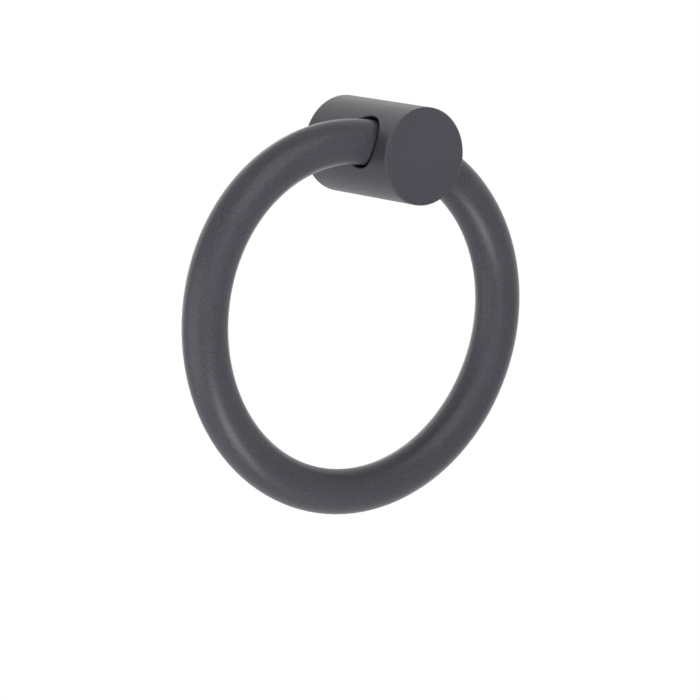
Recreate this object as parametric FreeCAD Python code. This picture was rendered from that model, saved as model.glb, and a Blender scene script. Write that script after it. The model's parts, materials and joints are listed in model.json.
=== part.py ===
"""Ring pull handle: a round post that stands off a door or drawer front, and a ring of round bar
that passes through a cross bore in the post and swings in it.

Frame: millimetres, +Z up. The origin is the centre of the post's back face, which lies on the door.
The door is the plane y = 0 and the post stands out along -Y. The ring hangs down in a plane
parallel to the door, and swings about the axis of the cross bore, which runs along X.
"""
import FreeCAD, Part
import math
import os

from FreeCAD import Vector

# Ring: round bar bent to a ring, eased flatter across the top where it passes through the post
bar_dia = 10.0
ring_width = 90.0
crown_flat = 7.0

# Post: turned round bar, with a wall of metal in front of the cross bore
post_dia = 21.5
nose_wall = 4.25
front_edge_chamfer = 0.35
back_edge_chamfer = 0.4

# Cross bore that carries the ring
bore_setback = 20.0
bore_clearance = 0.4
bore_lip_chamfer = 0.3

# Tapped blind hole in the back face, for a machine screw through the door, with a web left to the bore
fixing_hole_dia = 4.0
fixing_web = 3.0
fixing_mouth_chamfer = 0.4
drill_point_angle = 118.0

# Ring centreline: a half circle below, and above it two quarter bends joined by a short flat
bar_radius = bar_dia / 2
ring_radius = (ring_width - bar_dia) / 2
flat_half = crown_flat / 2
crown_radius = ring_radius - flat_half

# How far the centreline falls from the flat to the mouth of the bore, on the side of the post
post_radius = post_dia / 2
crown_drop = crown_radius - math.sqrt(crown_radius**2 - max(post_radius - flat_half, 0.0) ** 2)

# The bore clears the curved bar by the same amount at every swing, so its axis halves that fall
bore_radius = bar_radius + crown_drop / 2 + bore_clearance
bore_centre = Vector(0, -bore_setback, 0)
flat_rise = crown_drop / 2
ring_centre_z = flat_rise - crown_radius

# Lengths along the post, from the door
post_length = bore_setback + bore_radius + nose_wall
drill_point_length = fixing_hole_dia / 2 / math.tan(math.radians(drill_point_angle / 2))
fixing_hole_depth = bore_setback - bore_radius - fixing_web - drill_point_length


def bent_bar(centre_x, radius, start_angle, sweep_angle):
    """A stretch of bar bent about a centre at the ring's mid height; angles turn from +X to +Z."""
    centre = Vector(centre_x, -bore_setback, ring_centre_z)
    outward = Vector(math.cos(math.radians(start_angle)), 0, math.sin(math.radians(start_angle)))
    along = Vector(-outward.z, 0, outward.x)
    section = Part.Face(Part.Wire(Part.makeCircle(bar_radius, centre + outward * radius, along)))
    return section.revolve(centre, Vector(0, -1, 0), sweep_angle)


def make_ring():
    lower_half = bent_bar(0, ring_radius, 180, 180)
    right_crown = bent_bar(flat_half, crown_radius, 0, 90)
    left_crown = bent_bar(-flat_half, crown_radius, 90, 90)
    flat_start = Vector(-flat_half, -bore_setback, flat_rise)
    flat = Part.makeCylinder(bar_radius, 2 * flat_half, flat_start, Vector(1, 0, 0))
    return lower_half.multiFuse([right_crown, left_crown, flat]).removeSplitter()


def turned_post():
    """The post's profile in the plane x = 0, turned about Y, with its two rims eased by chamfers."""
    outline = [
        Vector(0, 0, 0),
        Vector(0, 0, post_radius - back_edge_chamfer),
        Vector(0, -back_edge_chamfer, post_radius),
        Vector(0, front_edge_chamfer - post_length, post_radius),
        Vector(0, -post_length, post_radius - front_edge_chamfer),
        Vector(0, -post_length, 0),
    ]
    profile = Part.Face(Part.makePolygon(outline + outline[:1]))
    return profile.revolve(Vector(0, 0, 0), Vector(0, 1, 0), 360)


def cross_bore():
    start = bore_centre - Vector(post_dia, 0, 0)
    return Part.makeCylinder(bore_radius, 2 * post_dia, start, Vector(1, 0, 0))


def fixing_hole():
    """Drilled and tapped hole: countersunk mouth, straight wall and a drill point."""
    radius = fixing_hole_dia / 2
    inward = Vector(0, -1, 0)
    wall = Part.makeCylinder(radius, fixing_hole_depth, Vector(0, 0, 0), inward)
    mouth_radius = radius + fixing_mouth_chamfer
    mouth = Part.makeCone(mouth_radius, radius, fixing_mouth_chamfer, Vector(0, 0, 0), inward)
    point = Part.makeCone(radius, 0, drill_point_length, Vector(0, -fixing_hole_depth, 0), inward)
    return wall.multiFuse([mouth, point])


def bore_lips(post):
    """The two saddle-shaped edges where the cross bore breaks through the side of the post."""
    lips = []
    for face in post.Faces:
        is_bore = isinstance(face.Surface, Part.Cylinder) and abs(face.Surface.Axis.x) > 0.5
        if is_bore:
            lips += [edge for edge in face.Edges if not isinstance(edge.Curve, Part.Line)]
    return lips


def make_post():
    post = turned_post().cut(cross_bore())
    post = post.makeChamfer(bore_lip_chamfer, bore_lips(post))
    return post.cut(fixing_hole())


def main():
    os.makedirs("parts", exist_ok=True)
    shapes = {"post": make_post(), "ring": make_ring()}
    for name, shape in shapes.items():
        print(name, "solids:", len(shape.Solids), "valid:", shape.isValid(), "mm3:", round(shape.Volume, 1))
        shape.exportStep("parts/" + name + ".step")


main()
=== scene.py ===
"""Ring pull handle: powder coat, tapped thread, studio light and the photograph's camera."""
import json
import math

import bmesh
import bpy
from mathutils import Matrix, Vector


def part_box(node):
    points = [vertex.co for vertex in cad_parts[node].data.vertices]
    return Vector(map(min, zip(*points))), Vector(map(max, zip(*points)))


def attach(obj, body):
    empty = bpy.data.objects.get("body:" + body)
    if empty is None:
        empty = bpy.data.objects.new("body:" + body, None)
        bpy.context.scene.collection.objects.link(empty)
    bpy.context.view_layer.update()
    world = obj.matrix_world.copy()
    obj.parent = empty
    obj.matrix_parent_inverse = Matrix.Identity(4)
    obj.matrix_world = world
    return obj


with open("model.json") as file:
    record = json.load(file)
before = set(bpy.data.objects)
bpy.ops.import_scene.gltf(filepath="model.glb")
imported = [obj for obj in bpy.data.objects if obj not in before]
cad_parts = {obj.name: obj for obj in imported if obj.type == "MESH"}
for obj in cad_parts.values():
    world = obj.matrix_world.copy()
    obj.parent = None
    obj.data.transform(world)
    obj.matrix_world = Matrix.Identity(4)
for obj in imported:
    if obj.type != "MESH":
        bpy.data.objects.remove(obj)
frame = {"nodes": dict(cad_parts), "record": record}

MM = 0.001
WHITE = (1, 1, 1, 1)
SCENE = bpy.context.scene
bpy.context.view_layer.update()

POST_LOW, POST_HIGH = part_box("post")
RING_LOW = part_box("ring")[0]
MOUNTS = {mount["name"]: mount for mount in frame["record"]["mounts"]}
FIXING_HOLE = MOUNTS["fixing_hole"]["dims"]


def direction(azimuth, elevation):
    """Unit vector from the object towards a place; azimuth 0 is in front, at -Y, and turns towards +X."""
    flat = math.cos(elevation)
    return Vector((math.sin(azimuth) * flat, -math.cos(azimuth) * flat, math.sin(elevation)))


def mesh_object(name, mesh, material):
    """Turns a finished bmesh into an object at the origin, with one material."""
    data = bpy.data.meshes.new(name)
    mesh.to_mesh(data)
    mesh.free()
    data.materials.append(material)
    made = bpy.data.objects.new(name, data)
    SCENE.collection.objects.link(made)
    return made


# Camera: the photograph's own view, turned a little about its line of sight

PHOTO_SIZE = 700
FOCAL_PIXELS = 3959.0
SENSOR_WIDTH = 36.0
CLIP_START = 10 * MM
VIEW_AZIMUTH = math.radians(-37.84)
VIEW_ELEVATION = math.radians(-0.92)
VIEW_ROLL = math.radians(14.59)
VIEW_DISTANCE = 873.6 * MM
AIM_RIGHT = 5.125 * MM
AIM_HEIGHT = -44.48 * MM


def add_camera():
    """Camera aimed at the point in the middle of the picture, and rolled about that line."""
    back = direction(VIEW_AZIMUTH, VIEW_ELEVATION)
    right = Vector((0, 0, 1)).cross(back).normalized()
    up = back.cross(right)
    turned_right = math.cos(VIEW_ROLL) * right + math.sin(VIEW_ROLL) * up
    turned_up = math.cos(VIEW_ROLL) * up - math.sin(VIEW_ROLL) * right
    turn = Matrix((turned_right, turned_up, back)).transposed()
    aim = Vector((AIM_RIGHT, POST_LOW.y / 2, AIM_HEIGHT))
    data = bpy.data.cameras.new("photo_camera")
    data.sensor_width = SENSOR_WIDTH
    data.lens = FOCAL_PIXELS * SENSOR_WIDTH / PHOTO_SIZE
    data.clip_start = CLIP_START
    camera = bpy.data.objects.new("photo_camera", data)
    camera.matrix_world = Matrix.Translation(aim + back * VIEW_DISTANCE) @ turn.to_4x4()
    SCENE.collection.objects.link(camera)
    SCENE.camera = camera


# Materials: noise scales are in cells per metre, and a pair holds the low and high end of a spread

NOISE_MIDDLE = (0.3, 0.7)

COAT_COLOUR = (0.068, 0.070, 0.083, 1)
COAT_SPECULAR = 0.22
POST_ROUGHNESS = 0.40
RING_ROUGHNESS = 0.34
SKIN_STRENGTH = 0.6
SKIN_DEPTH = 0.05 * MM
SPECKLE_NOISE = {"Scale": 2600.0, "Detail": 2.0, "Roughness": 0.6}
SPECKLE_TONE = (0.78, 1.22)
SPECKLE_POLISH = (-0.05, 0.05)
SPECKLE_HEIGHT = 0.5
PEEL_NOISE = {"Scale": 1100.0, "Detail": 1.0, "Roughness": 0.5}
CLOUD_NOISE = {"Scale": 55.0, "Detail": 3.0, "Roughness": 0.5}
CLOUD_TONE = (0.94, 1.06)
CLOUD_POLISH = (-0.03, 0.03)

STEEL_COLOUR = (0.46, 0.45, 0.43)
STEEL_ROUGHNESS = (0.28, 0.45)
MARK_NOISE = {"Scale": 3000.0, "Detail": 2.0, "Roughness": 0.5}
STAIN_NOISE = {"Scale": 700.0, "Detail": 2.0, "Roughness": 0.5}
STAIN_TONE = (0.75, 1.1)


class Nodes:
    """Adds nodes to a tree, links them and sets their sockets by name."""

    def __init__(self, tree):
        self.tree = tree

    def add(self, kind, inputs=None, **settings):
        node = self.tree.nodes.new(kind)
        for name, value in settings.items():
            setattr(node, name, value)
        for name, value in (inputs or {}).items():
            self.put(node.inputs[name], value)
        return node

    def put(self, socket, value):
        if isinstance(value, bpy.types.NodeSocket):
            self.tree.links.new(value, socket)
        else:
            socket.default_value = value

    def noise(self, vector, values):
        return self.add("ShaderNodeTexNoise", {"Vector": vector, **values}).outputs["Fac"]

    def maths(self, operation, first, second):
        return self.add("ShaderNodeMath", {0: first, 1: second}, operation=operation).outputs[0]

    def scaled(self, colour, factor):
        return self.add("ShaderNodeVectorMath", {0: colour, 1: factor}, operation="MULTIPLY").outputs[0]

    def spread(self, value, ends):
        """Maps the useful middle of a noise to a low and a high end."""
        inputs = {
            "Value": value,
            "From Min": NOISE_MIDDLE[0], "From Max": NOISE_MIDDLE[1],
            "To Min": ends[0], "To Max": ends[1],
        }
        return self.add("ShaderNodeMapRange", inputs).outputs["Result"]


def powder_group():
    """Baked powder: fine speckle, the orange-peel skin of the melted coat, and broad clouds of tone."""
    tree = bpy.data.node_groups.new("powder_coat", "ShaderNodeTree")
    sockets = (
        ("INPUT", "Vector", "NodeSocketVector"),
        ("INPUT", "Colour", "NodeSocketColor"),
        ("INPUT", "Roughness", "NodeSocketFloat"),
        ("OUTPUT", "Colour", "NodeSocketColor"),
        ("OUTPUT", "Roughness", "NodeSocketFloat"),
        ("OUTPUT", "Height", "NodeSocketFloat"),
    )
    for side, name, kind in sockets:
        tree.interface.new_socket(name=name, in_out=side, socket_type=kind)
    nodes = Nodes(tree)
    given = nodes.add("NodeGroupInput").outputs
    speckle = nodes.noise(given["Vector"], SPECKLE_NOISE)
    peel = nodes.noise(given["Vector"], PEEL_NOISE)
    clouds = nodes.noise(given["Vector"], CLOUD_NOISE)
    tone = nodes.maths("MULTIPLY", nodes.spread(speckle, SPECKLE_TONE), nodes.spread(clouds, CLOUD_TONE))
    polish = nodes.maths("ADD", nodes.spread(speckle, SPECKLE_POLISH), nodes.spread(clouds, CLOUD_POLISH))
    result = nodes.add("NodeGroupOutput").inputs
    nodes.put(result["Colour"], nodes.scaled(given["Colour"], tone))
    nodes.put(result["Roughness"], nodes.maths("ADD", given["Roughness"], polish))
    nodes.put(result["Height"], nodes.maths("ADD", peel, nodes.maths("MULTIPLY", speckle, SPECKLE_HEIGHT)))
    return tree


def new_material(name):
    """A material, its nodes, its shader and the Object coordinates that its patterns read."""
    material = bpy.data.materials.new(name)
    material.use_nodes = True
    nodes = Nodes(material.node_tree)
    shader = material.node_tree.nodes["Principled BSDF"]
    place = nodes.add("ShaderNodeTexCoord").outputs["Object"]
    return material, nodes, shader, place


def powder_coat(name, group, roughness):
    """Matte black powder coat, with its skin as a fine bump."""
    material, nodes, shader, place = new_material(name)
    coat = nodes.add("ShaderNodeGroup", node_tree=group)
    nodes.put(coat.inputs["Vector"], place)
    nodes.put(coat.inputs["Colour"], COAT_COLOUR)
    nodes.put(coat.inputs["Roughness"], roughness)
    skin = nodes.add("ShaderNodeBump", {"Strength": SKIN_STRENGTH, "Distance": SKIN_DEPTH})
    nodes.put(skin.inputs["Height"], coat.outputs["Height"])
    nodes.put(shader.inputs["Base Color"], coat.outputs["Colour"])
    nodes.put(shader.inputs["Roughness"], coat.outputs["Roughness"])
    nodes.put(shader.inputs["Normal"], skin.outputs["Normal"])
    shader.inputs["Specular IOR Level"].default_value = COAT_SPECULAR
    return material


def cut_steel():
    """Bright steel left by the tap, with fine marks and a little stain."""
    material, nodes, shader, place = new_material("cut_steel")
    marks = nodes.noise(place, MARK_NOISE)
    stain = nodes.noise(place, STAIN_NOISE)
    nodes.put(shader.inputs["Base Color"], nodes.scaled(STEEL_COLOUR, nodes.spread(stain, STAIN_TONE)))
    nodes.put(shader.inputs["Roughness"], nodes.spread(marks, STEEL_ROUGHNESS))
    shader.inputs["Metallic"].default_value = 1.0
    return material


def set_material(node, material):
    frame["nodes"][node].material_slots[0].material = material


# Thread in the fixing hole: a right-hand ridge that runs out into the wall at both ends

THREAD_PITCH = 0.7 * MM
THREAD_DEPTH = 0.38 * MM
ROOT_SINK = 0.02 * MM
CREST_HALF = THREAD_PITCH / 16
STEPS_PER_TURN = 40
RUN_OUT_STEPS = 16
SHARP_EDGE = math.radians(25)


def run_out_ends(mesh, section_size, steps, root):
    """Sinks the first and last sections of the ridge step by step towards its root."""
    mesh.verts.index_update()
    for vert in mesh.verts:
        section = vert.index // section_size
        share = (1 + min(section, steps - section)) / (1 + RUN_OUT_STEPS)
        flat = Vector((vert.co.x, 0, vert.co.z))
        if share < 1:
            vert.co += flat.normalized() * (root - flat.length) * (1 - share)


def add_thread(material):
    """A ridge of triangular section, screwed inwards along the hole's wall from just inside its mouth."""
    wall = FIXING_HOLE["r_mm"] * MM
    length = FIXING_HOLE["length_mm"] * MM
    turns = math.floor((length - THREAD_PITCH) / THREAD_PITCH)
    steps = STEPS_PER_TURN * turns
    start = -THREAD_PITCH
    half = THREAD_PITCH / 2
    root, crest = wall + ROOT_SINK, wall - THREAD_DEPTH
    section = [(root, half), (crest, CREST_HALF), (crest, -CREST_HALF), (root, -half)]
    mesh = bmesh.new()
    corners = [mesh.verts.new((0, start + along, radius)) for radius, along in section]
    loop = [mesh.edges.new(pair) for pair in zip(corners, corners[1:] + corners[:1])]
    bmesh.ops.spin(
        mesh, geom=corners + loop, cent=(0, 0, 0), axis=(0, -1, 0),
        dvec=(0, -THREAD_PITCH / STEPS_PER_TURN, 0), angle=math.tau * turns, steps=steps,
        use_merge=False, use_duplicate=False,
    )
    run_out_ends(mesh, len(section), steps, root)
    bmesh.ops.holes_fill(mesh, edges=[edge for edge in mesh.edges if edge.is_boundary], sides=0)
    bmesh.ops.recalc_face_normals(mesh, faces=mesh.faces)
    for face in mesh.faces:
        face.smooth = True
    for edge in mesh.edges:
        edge.smooth = edge.calc_face_angle(0) < SHARP_EDGE
    thread = mesh_object("fixing_thread", mesh, material)
    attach(thread, "post")


# Studio: white ground, and soft lamps round the object

FLOOR_DROP = 850 * MM
FLOOR_HALF = 4.0
FLOOR_COLOUR = (0.8, 0.8, 0.8, 1)
WORLD_LEVEL = 0.13
AIM_POINT = Vector((0, POST_LOW.y / 2, (POST_HIGH.z + RING_LOW.z) / 2))

PLAIN_LIGHT = (1, 1, 1)
WARM_LIGHT = (1, 0.97, 0.91)

# Name, azimuth and elevation in degrees, distance and side in metres, watts, colour
LAMPS = (
    ("low_front_lamp", -2, -46, 0.9, 0.42, 4.3, PLAIN_LIGHT),
    ("low_left_lamp", -95, -26, 0.28, 0.26, 0.36, PLAIN_LIGHT),
    ("front_lamp", -30, 5, 0.9, 1.0, 1.5, PLAIN_LIGHT),
    ("near_lamp", -28, 44, 0.2, 0.16, 0.15, PLAIN_LIGHT),
    ("back_lamp", 180, 15, 0.9, 1.0, 2.5, WARM_LIGHT),
    ("right_lamp", 100, 5, 0.9, 1.0, 1.0, PLAIN_LIGHT),
)


def show_white(tree, surface, white_kind, output):
    """Shows plain white to the camera and in reflections, and the given surface to all other light."""
    nodes = Nodes(tree)
    path = nodes.add("ShaderNodeLightPath").outputs
    seen = nodes.maths("MAXIMUM", path["Is Camera Ray"], path["Is Glossy Ray"])
    seen = nodes.maths("MAXIMUM", seen, path["Is Transmission Ray"])
    white = nodes.add(white_kind, {"Color": WHITE, "Strength": 1.0})
    mix = nodes.add("ShaderNodeMixShader", {0: seen, 1: surface.outputs[0], 2: white.outputs[0]})
    nodes.put(tree.nodes[output].inputs["Surface"], mix.outputs[0])


def add_world():
    """White surround, dim as a light and full white as a background."""
    world = bpy.data.worlds.new("white_studio")
    world.use_nodes = True
    SCENE.world = world
    surround = world.node_tree.nodes["Background"]
    surround.inputs["Color"].default_value = WHITE
    surround.inputs["Strength"].default_value = WORLD_LEVEL
    show_white(world.node_tree, surround, "ShaderNodeBackground", "World Output")


def pale_floor():
    """Matte pale paint that the camera sees as white."""
    material = bpy.data.materials.new("pale_floor")
    material.use_nodes = True
    tree = material.node_tree
    tree.nodes.remove(tree.nodes["Principled BSDF"])
    paint = tree.nodes.new("ShaderNodeBsdfDiffuse")
    paint.inputs["Color"].default_value = FLOOR_COLOUR
    show_white(tree, paint, "ShaderNodeEmission", "Material Output")
    return material


def add_floor():
    """Wide floor well below the ring, because the object hangs on a door."""
    mesh = bmesh.new()
    bmesh.ops.create_grid(mesh, x_segments=1, y_segments=1, size=FLOOR_HALF)
    bmesh.ops.translate(mesh, verts=mesh.verts, vec=(0, 0, RING_LOW.z - FLOOR_DROP))
    mesh_object("floor", mesh, pale_floor())


def add_lamps():
    """Square area lamps that stand round the object and face its middle."""
    for name, azimuth, elevation, distance, side, watts, colour in LAMPS:
        towards = direction(math.radians(azimuth), math.radians(elevation))
        data = bpy.data.lights.new(name, "AREA")
        data.shape = "SQUARE"
        data.size = side
        data.energy = watts
        data.color = colour
        lamp = bpy.data.objects.new(name, data)
        facing = towards.to_track_quat("Z", "Y").to_matrix()
        lamp.matrix_world = Matrix.Translation(AIM_POINT + towards * distance) @ facing.to_4x4()
        SCENE.collection.objects.link(lamp)


def main():
    SCENE.view_settings.view_transform = "Standard"
    add_camera()
    add_world()
    add_floor()
    add_lamps()
    group = powder_group()
    set_material("post", powder_coat("post_powder_coat", group, POST_ROUGHNESS))
    set_material("ring", powder_coat("ring_powder_coat", group, RING_ROUGHNESS))
    add_thread(cut_steel())


main()
